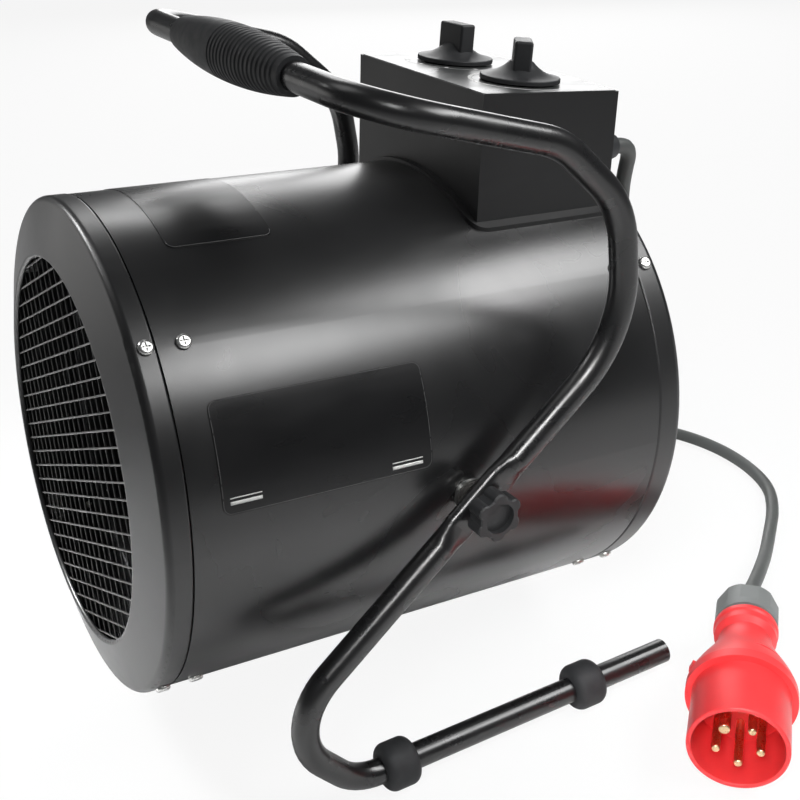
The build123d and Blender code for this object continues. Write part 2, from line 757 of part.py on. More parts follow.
def stand_path(reach_sign):
    """Half the stand's centreline, from the middle of the handle bar to the end of a leg."""
    upper = run_point(run_up)
    lower = run_point(-run_down)
    points = [
        (0, bar_back, bar_height),
        (reach_sign * bar_reach, bar_back, bar_height),
        (reach_sign * shoulder_reach, shoulder_y, pivot_height + shoulder_rise),
        (reach_sign * (shoulder_reach - 1), elbow_y, pivot_height + elbow_rise),
        (reach_sign * arm_reach, *upper),
        (reach_sign * arm_reach, *lower),
        (reach_sign * leg_reach, toe_y, leg_height),
        (reach_sign * leg_reach, leg_end, leg_height),
    ]
    bends = [bar_bend, shoulder_bend, elbow_bend, upper_run_bend, lower_run_bend, toe_bend]
    return FilletPolyline(*points, radius=bends)


def swept_tube(path, outer, inner):
    plane = Plane(origin=path @ 0, z_dir=path % 0)
    return sweep(plane * (Circle(outer) - Circle(inner)), path=path)


def pressed_stretch(reach_sign):
    """The stretch of an arm that is pressed flat round the pivot hole, along local Z."""
    near = pressed_half_length
    far = pressed_half_length + pressed_taper
    inner_width = pressed_width - 2 * tube_wall
    inner_thickness = pressed_thickness - 2 * tube_wall

    def shaped(width, thickness, radius):
        middle = extrude(SlotOverall(width, thickness), near, both=True)
        for sign in (-1, 1):
            slot = Pos(0, 0, sign * near) * SlotOverall(width, thickness)
            round_end = Pos(0, 0, sign * far) * Circle(radius)
            middle += loft([slot, round_end])
        return middle

    solid = shaped(pressed_width, pressed_thickness, tube_radius)
    solid -= shaped(inner_width, inner_thickness, tube_radius - tube_wall)
    place = Pos(reach_sign * arm_reach, 0, pivot_height) * Rot(X=-(90 - run_angle)) * Rot(Z=90)
    hole = Pos(reach_sign * arm_reach, 0, pivot_height) * Rot(Y=90) * Cylinder(pivot_bolt_radius + running_gap, 60)
    return place * solid - hole


def stand_tube():
    """The whole bent tube, bored for the pivot bolts through its pressed stretches."""
    tube = None
    for sign in (-1, 1):
        half = swept_tube(stand_path(sign), tube_radius, tube_radius - tube_wall)
        gap = Box(60, 60, 2 * (pressed_half_length + pressed_taper))
        place = Pos(sign * arm_reach, 0, pivot_height) * Rot(X=-(90 - run_angle))
        half = half - place * gap + pressed_stretch(sign)
        tube = half if tube is None else tube + half
    return tube


def handle_grip():
    """The barrel grip round the handle bar, ribbed over most of its length."""
    length = 2 * grip_half_length
    rise = grip_middle_radius - grip_end_radius
    bow = (grip_half_length**2 + rise**2) / (2 * rise)
    bore = tube_radius + seat_gap
    outline = make_face(
        [
            Line((-grip_half_length, bore), (-grip_half_length, grip_end_radius)),
            ThreePointArc(
                (-grip_half_length, grip_end_radius), (0, grip_middle_radius), (grip_half_length, grip_end_radius)
            ),
            Line((grip_half_length, grip_end_radius), (grip_half_length, bore)),
            Line((grip_half_length, bore), (-grip_half_length, bore)),
        ]
    )
    pitch = (length - grip_smooth_end - grip_smooth_far_end) / grip_ribs
    for index in range(grip_ribs):
        x = grip_half_length - grip_smooth_end - (index + 0.5) * pitch
        surface = sqrt(bow**2 - x**2) - bow + grip_middle_radius
        outline -= Pos(x, surface + grip_rib_depth) * Circle(grip_rib_depth * 2)
    return Pos(0, bar_back, bar_height) * revolve(outline, Axis.X, 360)


def foot(side, y):
    """A rubber drum round a leg, with a small flat where it stands."""
    drum = Rot(X=90) * Cylinder(foot_radius, foot_length)
    drum = fillet(drum.edges().filter_by(GeomType.CIRCLE), foot_round)
    drum -= Rot(X=90) * Cylinder(tube_radius + seat_gap, 2 * foot_length)
    drum = Pos(side * leg_reach, y, leg_height) * drum
    return drum - Pos(side * leg_reach, y, -50) * Box(80, 80, 100)


# ---------------------------------------------------------------- pivots, built for the +X side
def plate_seat():
    """Inner face of the casing where the pivot plate lies."""
    return casing_bore - seat_gap


def pivot_plate():
    """A curved steel plate that stiffens the casing round the pivot bolt."""
    outer = plate_seat()
    shell = pipe(outer, outer - pivot_plate_thickness, -pivot_plate_size / 2, pivot_plate_size / 2)
    window = fillet(Rectangle(pivot_plate_size, pivot_plate_size).vertices(), 5)
    plate = shell & (radial(0, 0, outer * 0.6) * extrude(window, outer))
    return plate - radial(0, 0, outer) * Cylinder(pivot_bolt_radius + fit_gap, 20)


def bolt_seat():
    radius = plate_seat() - pivot_plate_thickness
    return radius - seat_depth(radius, pivot_bolt_head / sqrt(3)) - seat_gap


def pivot_bolt():
    """A bolt from inside the drum: its head on the plate, its thread out through the arm."""
    x = bolt_seat()
    head = Pos(x - pivot_bolt_head_height, 0, 0) * Rot(Y=90) * hexagon_up(pivot_bolt_head, pivot_bolt_head_height)
    end = arm_outer_face() + knob_boss_length + star_thickness - star_recess_depth - star_cap - 1
    shank = Pos(x - 1, 0, 0) * Rot(Y=90) * cylinder_up(pivot_bolt_radius, end - x + 1)
    return head + shank


def arm_inner_face():
    return arm_reach - pressed_thickness / 2


def arm_outer_face():
    return arm_reach + pressed_thickness / 2


def ring_on_bolt(outer, start, thickness, bore_gap=fit_gap):
    washer = cylinder_up(outer, thickness) - Cylinder(pivot_bolt_radius + bore_gap, 4 * thickness)
    return Pos(start, 0, 0) * Rot(Y=90) * washer


def friction_washer():
    start = arm_inner_face() - friction_washer_thickness - seat_gap
    return ring_on_bolt(friction_washer_radius, start, friction_washer_thickness)


def pivot_washer():
    start = arm_inner_face() - friction_washer_thickness - pivot_washer_thickness - 2 * seat_gap
    return ring_on_bolt(pivot_washer_radius, start, pivot_washer_thickness)


def pivot_bush():
    end = arm_inner_face() - friction_washer_thickness - pivot_washer_thickness - 3 * seat_gap
    start = casing_radius + seat_gap
    return ring_on_bolt(pivot_bush_radius, start, end - start)


def star_knob():
    """A six-lobed clamping knob with a boss on the arm and a dished outer end, closed over the bolt."""
    start = arm_outer_face() + seat_gap
    head = Circle(star_core_radius)
    for index in range(star_lobes):
        angle = radians(360 / star_lobes * index)
        spot = Pos(star_lobe_circle * cos(angle), star_lobe_circle * sin(angle))
        head += spot * Circle(star_lobe_radius)
    solid = extrude(head, star_thickness)
    solid = chamfer(solid.edges().group_by(Axis.Z)[-1], 0.8)
    solid = Pos(0, 0, knob_boss_length) * solid
    solid += Cone(knob_boss_radius, star_core_radius, knob_boss_length, align=(Align.CENTER, Align.CENTER, Align.MIN))
    top = knob_boss_length + star_thickness
    solid -= Pos(0, 0, top - star_recess_depth) * cylinder_up(star_recess_radius, 20)
    solid -= Pos(0, 0, -1) * cylinder_up(pivot_bolt_radius + running_gap, top - star_recess_depth - star_cap + 1)
    return Pos(start, 0, 0) * Rot(Y=90) * solid


# ---------------------------------------------------------------- plug and lead
def plug_place():
    heading = radians(plug_heading)
    forward = Vector(cos(heading), sin(heading), 0)
    right = Vector(-sin(heading), cos(heading), 0)
    return Plane(origin=(*plug_back, plug_axis_height), x_dir=right, z_dir=forward)


def plug_cap_nut():
    nut = cylinder_up(plug_nut_radius, plug_nut_length)
    flats = hexagon_up(2 * plug_nut_radius * 0.955, plug_nut_length * 0.72)
    band = Pos(0, 0, plug_nut_length * 0.72) * cylinder_up(plug_nut_radius, plug_nut_length * 0.28)
    nut = nut & (flats + band)
    return chamfer(nut.edges().group_by(Axis.Z)[0], 2.5)


def plug_seal():
    start = plug_nut_length + seat_gap
    return Pos(0, 0, start) * cylinder_up(plug_collar_radius - 1.2, plug_seal_length)


def plug_body():
    """The handle: beaded collar, waist, flare with its latch slot, and the flange round the shroud."""
    start = plug_nut_length + plug_seal_length + 2 * seat_gap
    collar_end = start + plug_collar_length
    flange_end = plug_flare_end + plug_flange_length
    bead_radius = plug_collar_radius + plug_collar_bead
    outline = make_face(
        [
            Polyline(
                (0, start), (bead_radius, start), (bead_radius, start + 3), (plug_collar_radius, start + 4.5),
                (plug_collar_radius, collar_end - 4), (plug_waist_radius, collar_end),
            ),
            Spline(
                (plug_waist_radius, collar_end),
                (plug_flange_radius * 0.76, plug_flare_end - 22),
                (plug_flange_radius, plug_flare_end),
                tangents=((0.1, 1), (0.25, 1)),
            ),
            Polyline((plug_flange_radius, plug_flare_end), (plug_flange_radius, flange_end), (0, flange_end),
                     (0, start)),
        ]
    )
    body = revolve(Plane.XZ * outline, Axis.Z, 360)
    body -= Pos(0, 0, flange_end - 6) * cylinder_up(plug_shroud_radius + seat_gap, 20)
    latch = Rot(Z=plug_latch_angle) * Pos(plug_flange_radius, 0, plug_flare_end - 14)
    body -= latch * Box(*plug_latch_slot)
    nub = Rot(Z=plug_nub_angle) * Pos(plug_flange_radius - 3, 0, plug_flare_end - 4)
    return body + nub * Box(6, 6, 5)


def plug_shroud():
    base = plug_flare_end + plug_flange_length - 6 + seat_gap
    floor_z = plug_length - plug_cavity_depth
    inner = plug_shroud_radius - plug_shroud_wall
    shroud = Pos(0, 0, base) * cylinder_up(plug_shroud_radius, plug_length - base)
    shroud -= Pos(0, 0, floor_z) * cylinder_up(inner, 2 * plug_cavity_depth)
    shroud = fillet(shroud.edges().filter_by(GeomType.CIRCLE).group_by(Axis.Z)[-1], 0.9)
    for index in range(plug_pins):
        shroud -= pin_spot(index) * Pos(0, 0, floor_z - plug_pin_root) * cylinder_up(pin_size(index) + seat_gap, 20)
    return shroud


def pin_spot(index):
    angle = radians(plug_earth_angle - index * 360 / plug_pins)
    return Pos(plug_pin_circle * cos(angle), plug_pin_circle * sin(angle), 0)


def pin_size(index):
    return plug_earth_radius if index == 0 else plug_pin_radius


def plug_contact_pins():
    floor_z = plug_length - plug_cavity_depth
    pins = []
    for index in range(plug_pins):
        root = floor_z - plug_pin_root + seat_gap
        pin = Pos(0, 0, root) * cylinder_up(pin_size(index), plug_length - plug_pin_setback - root)
        pin = fillet(pin.edges().sort_by(Axis.Z)[-1], 1.2)
        pins.append(pin_spot(index) * pin)
    return pins


def gland_exit(beyond=0.0):
    """A point on the gland's axis, that far beyond its outer end, in the stand frame."""
    y = box_rear + seat_gap + gland_body_length + gland_dome_length + beyond
    return (in_drum * Pos(gland_x, y, gland_height)).position


def plug_entry(short_of=0.0):
    """A point on the plug's axis, that far short of its back, in the stand frame."""
    place = plug_place()
    return place.origin - place.z_dir * short_of


def bend_radii(points):
    """For each inner point of a route, 0.45 of the shorter run over the tangent of half the turn."""
    radii = []
    for before, here, after in zip(points, points[1:], points[2:]):
        run_in = here - before
        run_out = after - here
        half_turn = radians(run_in.get_angle(run_out)) / 2
        radii.append(0.45 * min(run_in.length, run_out.length) / tan(half_turn))
    return radii


def mains_cord():
    """The lead as one tube of straight runs and tangent arcs."""
    points = [gland_exit(), gland_exit(cord_exit_run)] + [Vector(*point) for point in cord_route]
    points += [plug_entry(cord_plug_run), plug_entry()]
    radii = bend_radii(points)
    path = FilletPolyline(*points, radius=radii)
    tube = sweep(Plane(origin=path @ 0, z_dir=path % 0) * Circle(cord_radius), path=path)
    print("lead length", round(path.length, 1), "bend radii", [round(radius) for radius in radii])
    print("lead volume over section times length", round(tube.volume / (pi * cord_radius**2 * path.length), 4))
    return tube


# ---------------------------------------------------------------- assembly
def build_nodes():
    """Every node as name: list of solids in the stand frame."""
    front_ring_place = Pos(0, front_corner, 0)
    rear_ring_place = Pos(0, rear_corner, 0) * Rot(Z=180)
    turned_angles = [180 - angle for angle in screw_angles]
    mesh_front_y = mesh_seat_y(front_corner)
    mesh_rear_y = -mesh_seat_y(-rear_corner)
    drum = {
        "outer_casing": [casing()],
        "front_ring": [front_ring_place * end_ring(front_ring_depth, screw_angles)],
        "rear_ring": [rear_ring_place * end_ring(rear_ring_depth, turned_angles)],
        "outlet_mesh": wire_mesh(mesh_front_y),
        "inlet_mesh": wire_mesh(mesh_rear_y),
        "outlet_mesh_clips": mesh_clips(mesh_front_y, front_corner, front_ring_depth, 1),
        "inlet_mesh_clips": mesh_clips(mesh_rear_y, rear_corner, rear_ring_depth, -1),
        "front_ring_screws": ring_of_screws(front_ring_screws_y, drum_radius),
        "rear_ring_screws": ring_of_screws(rear_ring_screws_y, drum_radius),
        "casing_front_screws": ring_of_screws(front_casing_screws_y, casing_radius),
        "casing_rear_screws": ring_of_screws(rear_casing_screws_y, casing_radius),
        "inner_duct": [inner_duct()],
        "element_strap": [element_strap()],
        "fan_motor": [fan_motor()],
        "motor_bracket": [motor_bracket()],
        "motor_bolts": motor_bolts(),
        "motor_shaft": [motor_shaft()],
        "fan_wheel": [fan_wheel()],
        "control_box": [control_box()],
        "dial_plate": [dial_plate()],
        "rotary_switch": [place_controls(-1, control_body(switch_size))],
        "thermostat": [place_controls(1, control_body(thermostat_size))],
        "spindle_nuts": [place_controls(side, spindle_nut()) for side in (-1, 1)],
        "selector_spindle": [place_controls(-1, Rot(Z=selector_rest) * spindle(switch_size[2]))],
        "thermostat_spindle": [place_controls(1, Rot(Z=thermostat_rest) * spindle(thermostat_size[2]))],
        "selector_knob": [place_controls(-1, Rot(Z=selector_rest) * control_knob())],
        "thermostat_knob": [place_controls(1, Rot(Z=thermostat_rest) * control_knob())],
        "thermostat_probe": [thermostat_probe()],
        "thermal_cutout": [thermal_cutout()],
        "terminal_block": [terminal_block()],
        "cable_gland": [cable_gland()],
        "gland_locknut": [gland_locknut()],
        "side_label": [
            curved_label(front_corner + side_label_from_front, side_label_length, *side_label_angles)
        ],
        "top_label": [
            curved_label(
                front_corner + top_label_from_front, top_label_length, 90 - top_label_spread, 90 + top_label_spread
            )
        ],
    }
    for name, radius in zip(("inner", "middle", "outer"), element_radii):
        drum["heating_element_" + name] = [heating_element(radius)]
    for name, make in (
        ("pivot_bolts", pivot_bolt),
        ("pivot_washers", pivot_washer),
        ("friction_washers", friction_washer),
    ):
        drum[name] = [turn * make() for turn in (Rot(Z=0), Rot(Z=180))]
    for name, make in (
        ("pivot_plate", pivot_plate),
        ("pivot_bush", pivot_bush),
        ("star_knob", star_knob),
    ):
        drum[name + "_right"] = [make()]
        drum[name + "_left"] = [Rot(Z=180) * make()]

    nodes = {name: [in_drum * solid for solid in solids] for name, solids in drum.items()}
    nodes["stand_tube"] = [stand_tube()]
    nodes["handle_grip"] = [handle_grip()]
    for end, y in zip(("front", "rear"), foot_places):
        nodes["foot_" + end + "_right"] = [foot(1, y)]
        nodes["foot_" + end + "_left"] = [foot(-1, y)]
    return nodes


def build_lead():
    place = plug_place().location
    return {
        "mains_cord": [mains_cord()],
        "plug_cap_nut": [place * plug_cap_nut()],
        "plug_seal": [place * plug_seal()],
        "plug_body": [place * plug_body()],
        "plug_shroud": [place * plug_shroud()],
        "plug_contact_pins": [place * pin for pin in plug_contact_pins()],
    }


def footprint_shift(nodes):
    """The shift that puts the origin on the floor under the middle of the heater on its stand."""
    reaches = [solid.bounding_box() for solids in nodes.values() for solid in solids]
    front = min(reach.min.Y for reach in reaches)
    rear = max(reach.max.Y for reach in reaches)
    return Vector(0, -(front + rear) / 2, 0)


def main():
    nodes = build_nodes()
    shift = footprint_shift(nodes)
    nodes.update(build_lead())
    os.makedirs("parts", exist_ok=True)
    for name, solids in nodes.items():
        moved = [Pos(*shift) * solid for solid in solids]
        whole = moved[0] if len(moved) == 1 else Compound(children=moved)
        export_step(whole, "parts/" + name + ".step")
    print("nodes", len(nodes), "shift", round(shift.Y, 3))


main()
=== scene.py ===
import math

import bmesh
import bpy
from mathutils import Matrix, Vector


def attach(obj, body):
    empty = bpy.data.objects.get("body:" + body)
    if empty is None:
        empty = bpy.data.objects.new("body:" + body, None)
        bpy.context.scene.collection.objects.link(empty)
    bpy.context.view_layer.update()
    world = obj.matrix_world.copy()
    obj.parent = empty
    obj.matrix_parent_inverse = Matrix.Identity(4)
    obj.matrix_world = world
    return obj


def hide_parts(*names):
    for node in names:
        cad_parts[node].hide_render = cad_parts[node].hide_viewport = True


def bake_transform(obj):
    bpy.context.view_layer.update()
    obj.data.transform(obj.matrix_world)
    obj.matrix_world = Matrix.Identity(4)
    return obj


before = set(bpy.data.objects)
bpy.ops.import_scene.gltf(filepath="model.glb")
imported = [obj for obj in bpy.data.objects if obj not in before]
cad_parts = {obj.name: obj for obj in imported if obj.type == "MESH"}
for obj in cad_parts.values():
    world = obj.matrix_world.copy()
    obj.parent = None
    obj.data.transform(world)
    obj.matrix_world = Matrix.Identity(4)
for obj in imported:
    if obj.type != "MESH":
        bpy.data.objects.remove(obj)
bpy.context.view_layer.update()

bl_info = {
    "name": "Forced air heater",
    "version": (1, 0, 0),
    "blender": (4, 5, 0),
    "location": "3D View > Sidebar > Heater",
    "description": "Finishes and fine pieces of a drum heater that tilts in a tube stand",
    "category": "Object",
}

MM = 0.001

# The drum frame: origin on the tilt axis, +Y along the drum towards the inlet.
PIVOT = Vector((0, 9.478, 184.0)) * MM
REST_TILT = math.radians(3.9)
DRUM = Matrix.Translation(PIVOT) @ Matrix.Rotation(-REST_TILT, 4, "X")
FRONT_CORNER = -177.0
CASING_RADIUS = 148.6
BOX_FRONT = 47.5
BOX_DEPTH = 97.0
BOX_TOP_FRONT = 205.8
BOX_TOP_REAR = 201.4
BOX_TOP_SLOPE = math.atan2(BOX_TOP_REAR - BOX_TOP_FRONT, BOX_DEPTH)
KNOB_Y = BOX_FRONT + 50.0
KNOB_X = 37.0

# Where printed ink lies, in mm: the faces of the plates, and how far ink stands off them.
DIAL_FACE = 0.43
LABEL_SEAT_GAP = 0.03
LABEL_SHEET = 0.3
LABEL_FACE = CASING_RADIUS + LABEL_SEAT_GAP + LABEL_SHEET
INK_GAP = 0.01

# The lead's route, the control points of one smooth line from the gland to the plug.
LEAD_ROUTE = [
    (56, 179.73, 335.77), (56, 187.21, 335.26), (54.4, 193.08, 331.1), (51.2, 196.48, 325.1),
    (47.4, 197.68, 316.1), (43, 199.28, 302), (38.5, 203.08, 278.5), (33, 208.48, 248.5),
    (26, 215.98, 213.5), (15, 222.48, 174.5), (1, 230.48, 133.5), (-16, 239.48, 92.5),
    (-37.6, 251.18, 53.8), (-63.6, 265.38, 24.5), (-95, 284.88, 7.9), (-122.8, 310.78, 5.3),
    (-131.8, 341.68, 5.3), (-115.8, 370.58, 5.3), (-84.9, 389.48, 5.3), (-48, 399.48, 5.3),
    (-9.1, 398.48, 5.3), (26.8, 387.58, 5.3), (54.7, 364.58, 5.3), (78.6, 336.68, 6),
    (101.5, 309.88, 9.9), (124.1, 282.28, 21.6), (147, 252.48, 31.8), (159.66, 232.83, 34.4),
    (169.4, 222.78, 34.4),
]
LEAD_LENGTH_RANGE = (0.7, 1.2)

# The camera's place in metres, its right and forward directions, and its lens and sensor in mm.
CAMERA_PLACE = (0.66163, -0.31315, 0.54449)
CAMERA_RIGHT = (0.495, 0.86834, -0.03033)
CAMERA_FORWARD = (-0.7842, 0.43147, -0.44588)
CAMERA_LENS = 55.68
CAMERA_SENSOR = 36

WHITE = (1.0, 1.0, 1.0)
WARM_WHITE = (1.0, 0.99, 0.97)
# Each soft light: name, place, what it points at, width and height, watts, spread in degrees, colour.
LAMPS = (
    ("top_soft", (0.85, 0.88, 1.5), (0, 0, 0.25), (1.35, 0.5), 20, 180, WHITE),
    ("left_rear", (-1.45, 0.5, 1.5), (0, -0.15, 0.3), (0.5, 0.3), 3, 180, WHITE),
    ("far_left", (-2.15, 1.4, 0.95), (0, 0.05, 0.4), (1.4, 1.3), 20, 180, WHITE),
    ("near_floor", (-0.6, -0.55, 0.75), (-0.12, -0.3, 0), (0.25, 0.25), 1.6, 60, WHITE),
    ("front_left", (-1.4, -1.2, 0.4), (0, -0.2, 0.15), (1.2, 0.6), 2, 180, WARM_WHITE),
    ("high_fill", (-0.9, -0.9, 2.2), (0, 0, 0), (1.0, 1.0), 4, 180, WHITE),
    ("front_right", (0.7, -0.4, 0.75), (0.23, 0.19, 0.03), (0.25, 0.4), 0.5, 32, WHITE),
)
ROOM_COLOUR = (0.9, 0.92, 0.95)
ROOM_STRENGTH = 0.08

# Printed borders of the labels: angles round the drum, then mm behind the front corner.
LABELS = {
    "side_label_border": ((7.8, 31), 31.3, 155.3),
    "top_label_border": ((66, 114), 39, 100),
}
LABEL_CORNER = 4.5
BORDER_INSET = 0.6
BORDER_WIDTH = 0.35

# Printed bars on the side label: start, end and angle of each pair, then its lines' offset and width.
LABEL_BARS = ((35.6, 53.3, 10.9), (130.0, 149.0, 10.2))
BAR_LINES = ((-0.7, 1.9), (0.35, 0.6))

# Printed dial marks, in degrees round a knob and mm across.
HEAT_ARC = (178, 375)
HEAT_WIDTHS = (2.8, 0.8)
SELECTOR_PLACES = 4
SELECTOR_FIRST = 248
SELECTOR_STEP = 35
SELECTOR_MARK_HALF = 2.2
SELECTOR_MARK_WIDTHS = (3.2, 3.2)
SELECTOR_ARC = (242, 360)
SELECTOR_ARC_OUT = 2.6
SELECTOR_ARC_WIDTHS = (0.4, 0.4)


# ------------------------------------------------------------------ settings
class HeaterSizes(bpy.types.PropertyGroup):
    lead_diameter: bpy.props.FloatProperty(
        name="Lead diameter", description="Outside of the mains lead's sheath",
        default=0.010, min=0.006, max=0.014, unit="LENGTH",
    )
    print_height: bpy.props.FloatProperty(
        name="Print thickness", description="How far printed marks stand off the plate",
        default=0.00004, min=0.00001, max=0.0002, unit="LENGTH",
    )
    dial_ring: bpy.props.FloatProperty(
        name="Dial ring radius", description="Middle of the printed arc round a knob",
        default=0.0305, min=0.026, max=0.032, unit="LENGTH",
    )


class HeaterColours(bpy.types.PropertyGroup):
    coat: bpy.props.FloatVectorProperty(
        name="Drum coat", description="Powder coat on the casing and rings",
        subtype="COLOR", default=(0.0105, 0.0105, 0.011), min=0, max=1,
    )
    tube_paint: bpy.props.FloatVectorProperty(
        name="Tube paint", description="Gloss paint on the stand",
        subtype="COLOR", default=(0.008, 0.008, 0.0085), min=0, max=1,
    )
    moulding: bpy.props.FloatVectorProperty(
        name="Moulding", description="Knobs and clamping knobs",
        subtype="COLOR", default=(0.034, 0.035, 0.037), min=0, max=1,
    )
    rubber: bpy.props.FloatVectorProperty(
        name="Rubber", description="Grip and feet",
        subtype="COLOR", default=(0.026, 0.027, 0.029), min=0, max=1,
    )
    plug: bpy.props.FloatVectorProperty(
        name="Plug", description="Red moulding of the plug",
        subtype="COLOR", default=(0.92, 0.05, 0.055), min=0, max=1,
    )
    lead: bpy.props.FloatVectorProperty(
        name="Lead", description="Sheath of the mains lead",
        subtype="COLOR", default=(0.1, 0.106, 0.103), min=0, max=1,
    )


# ------------------------------------------------------------------ shader building
class Signal:
    """A shader socket that takes part in arithmetic; an expression adds its Math nodes."""

    def __init__(self, finish, socket):
        self.finish = finish
        self.socket = socket

    def math(self, operation, first, second):
        return self.finish.node("ShaderNodeMath", {"operation": operation}, {0: first, 1: second})

    def __add__(self, other):
        return self.math("ADD", self, other)

    __radd__ = __add__

    def __mul__(self, other):
        return self.math("MULTIPLY", self, other)

    __rmul__ = __mul__


class Finish:
    """A material on one Principled shader, with the nodes that vary it."""

    def __init__(self, name, **values):
        self.material = bpy.data.materials.new(name)
        self.material.use_nodes = True
        self.tree = self.material.node_tree
        self.tree.nodes.clear()
        self.output = self.tree.nodes.new("ShaderNodeOutputMaterial")
        self.shader = self.tree.nodes.new("ShaderNodeBsdfPrincipled")
        self.tree.links.new(self.shader.outputs[0], self.output.inputs["Surface"])
        for socket, value in values.items():
            self.shader.inputs[socket.replace("_", " ")].default_value = value
        self.place = self.node("ShaderNodeTexCoord", output="Object")

    def node(self, kind, settings=None, values=None, output=0):
        made = self.tree.nodes.new(kind)
        for name, value in (settings or {}).items():
            if name == "stops":
                ramp = made.color_ramp
                while len(ramp.elements) < len(value):
                    ramp.elements.new(0.5)
                for element, (position, colour) in zip(ramp.elements, value):
                    element.position = position
                    element.color = (*colour, 1.0)
            else:
                setattr(made, name, value)
        for name, value in (values or {}).items():
            self.set(made.inputs[name], value)
        return Signal(self, made.outputs[output])

    def set(self, socket, value):
        if isinstance(value, Signal):
            self.tree.links.new(value.socket, socket)
        elif isinstance(value, (tuple, list)) and socket.type == "RGBA" and len(value) == 3:
            socket.default_value = (*value, 1.0)
        else:
            socket.default_value = value

    def noise(self, scale, detail=2.0, stretch=None, distortion=0.0):
        """Noise in the piece's own metres, so a scale of 100 has features near a centimetre."""
        place = self.place
        if stretch:
            place = self.node("ShaderNodeMapping", values={"Vector": place, "Scale": stretch})
        values = {"Vector": place, "Scale": scale, "Detail": detail, "Distortion": distortion}
        return self.node("ShaderNodeTexNoise", values=values)

    def cells(self, scale):
        return self.node("ShaderNodeTexVoronoi", values={"Vector": self.place, "Scale": scale})

    def ramp(self, signal, *stops):
        return self.node("ShaderNodeValToRGB", {"stops": stops}, {"Fac": signal})

    def spread(self, signal, low, high, floor, ceiling):
        """Signal from low to high, mapped to floor to ceiling and held there."""
        values = {"Value": signal, "From Min": low, "From Max": high, "To Min": floor, "To Max": ceiling}
        return self.node("ShaderNodeMapRange", values=values)

    def mix(self, mask, first, second):
        return self.node(
            "ShaderNodeMix", {"data_type": "RGBA"}, {0: mask, 6: first, 7: second}, output=2
        )

    def use(self, **signals):
        for socket, value in signals.items():
            self.set(self.shader.inputs[socket.replace("_", " ")], value)
        return self

    def bump(self, height, strength, depth):
        bumped = self.node(
            "ShaderNodeBump", values={"Height": height, "Strength": strength, "Distance": depth}
        )
        return self.use(Normal=bumped)


def scaled(colour, factor):
    return tuple(min(1.0, channel * factor) for channel in colour)


def powder_coat(name, colour, roughness, grain=1500, relief=0.00005, dust=0.35, sheen=0.9):
    """Baked coat: a fine orange peel, uneven sheen and a trace of pale handling marks."""
    coat = Finish(name, Specular_IOR_Level=sheen)
    cloud = coat.noise(9, 4, distortion=0.6)
    rubbed = coat.spread(coat.noise(38, 6, (1.0, 0.35, 1.0)), 0.56, 0.78, 0.0, dust)
    peel = coat.noise(grain, 2) * 0.7 + coat.noise(grain * 0.35, 2) * 0.5
    clouded = coat.mix(cloud, scaled(colour, 0.75), scaled(colour, 1.3))
    coat.use(
        Base_Color=coat.mix(rubbed, clouded, scaled(colour, 2.4)),
        Roughness=coat.spread(cloud, 0.3, 0.7, roughness - 0.04, roughness + 0.05) + rubbed * 0.12,
    )
    return coat.bump(peel, 0.35, relief).material


def gloss_paint(name, colour, roughness):
    """Semi-gloss paint with slight flow marks and fine scuffs."""
    paint = Finish(name, Specular_IOR_Level=0.9)
    flow = paint.noise(55, 2)
    scuffs = paint.spread(paint.noise(420, 5, (0.25, 0.25, 1.0)), 0.64, 0.78, 0.0, 0.3)
    paint.use(
        Base_Color=paint.mix(scuffs, colour, scaled(colour, 2.2)),
        Roughness=paint.spread(flow, 0.3, 0.7, roughness - 0.03, roughness + 0.04) + scuffs * 0.2,
    )
    return paint.bump(flow + paint.noise(900, 1) * 0.12, 0.1, 0.0002).material


def moulded(name, colour, roughness, grain=2600, relief=0.00004, sheen=0.5):
    """Moulded plastic: spark-eroded grain with faint flow clouds."""
    plastic = Finish(name, Specular_IOR_Level=sheen)
    cloud = plastic.noise(45, 3)
    speck = plastic.cells(grain)
    plastic.use(
        Base_Color=plastic.mix(cloud, scaled(colour, 0.88), scaled(colour, 1.14)),
        Roughness=plastic.spread(cloud, 0.3, 0.7, roughness - 0.05, roughness + 0.05),
    )
    return plastic.bump(speck, 0.4, relief).material


def rubber(name, colour, roughness=0.62):
    """Soft rubber with a chalky bloom in places and a fine pebble."""
    skin = Finish(name, Specular_IOR_Level=0.42)
    bloom = skin.spread(skin.noise(60, 5), 0.5, 0.75, 0.0, 0.55)
    pebble = skin.noise(3200, 2)
    skin.use(
        Base_Color=skin.mix(bloom, colour, scaled(colour, 1.9)),
        Roughness=skin.spread(skin.noise(140, 2), 0.3, 0.7, roughness - 0.06, roughness + 0.08),
    )
    return skin.bump(pebble, 0.35, 0.00006).material


def plated(name, colour, roughness, along=(1.0, 1.0, 1.0), tarnish=0.3):
    """Plated or drawn metal with fine lines and dull patches."""
    metal = Finish(name, Metallic=1.0)
    lines = metal.noise(1800, 3, along)
    patch = metal.spread(metal.noise(120, 4), 0.5, 0.75, 0.0, tarnish)
    metal.use(
        Base_Color=metal.mix(patch, colour, scaled(colour, 0.55)),
        Roughness=metal.spread(lines, 0.3, 0.7, roughness - 0.06, roughness + 0.08) + patch * 0.2,
    )
    return metal.bump(lines, 0.15, 0.00001).material


def galvanised(name, colour, roughness):
    """Sheet with faint spangle, dulled by heat."""
    sheet = Finish(name, Metallic=0.85)
    spangle = sheet.cells(140)
    heat = sheet.spread(sheet.noise(14, 4), 0.35, 0.7, 0.0, 0.8)
    spangled = sheet.mix(spangle, scaled(colour, 0.75), colour)
    sheet.use(
        Base_Color=sheet.mix(heat, spangled, scaled(colour, 0.4)),
        Roughness=sheet.spread(spangle, 0.1, 0.9, roughness - 0.08, roughness + 0.1),
    )
    return sheet.bump(spangle, 0.15, 0.00005).material


